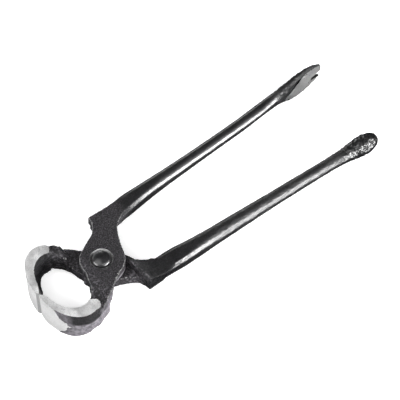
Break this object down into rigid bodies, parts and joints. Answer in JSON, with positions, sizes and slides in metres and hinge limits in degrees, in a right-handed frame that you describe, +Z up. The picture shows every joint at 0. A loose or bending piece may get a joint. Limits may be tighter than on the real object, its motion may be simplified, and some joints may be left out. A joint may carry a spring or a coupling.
{
  "type": "carpenter pincers",
  "caption": "End-cutting pincers: crossed forged levers on a domed rivet, curved jaws meeting nose to nose, a claw end and a ball end.",
  "frame": {"origin": "on the plane the tool lies on, under the middle of its bounding box with the jaws closed", "axes": "+X from the nose to the handle ends, +Y towards the claw handle, +Z up along the rivet's axis"},
  "size_m": [0.2058, 0.0606, 0.0185],
  "materials": {
    "claw_lever_steel": "black lacquered forging, bright ground jaw and claw",
    "ball_lever_steel": "black lacquered forging, bright ground jaw",
    "rivet_steel": "black lacquered, peened dome"
  },
  "bodies": {
    "claw_side": {"claw_lever": "claw_lever_steel", "pivot_rivet": "rivet_steel"},
    "ball_side": {"ball_lever": "ball_lever_steel"}
  },
  "joints": [
    {"name": "jaw_pivot", "type": "hinge", "parent": "claw_side", "child": "ball_side", "pos_m": [-0.0646, 0.00115, 0.00925], "axis": [0, 0, -1], "range_deg": [0, 50]}
  ]
}
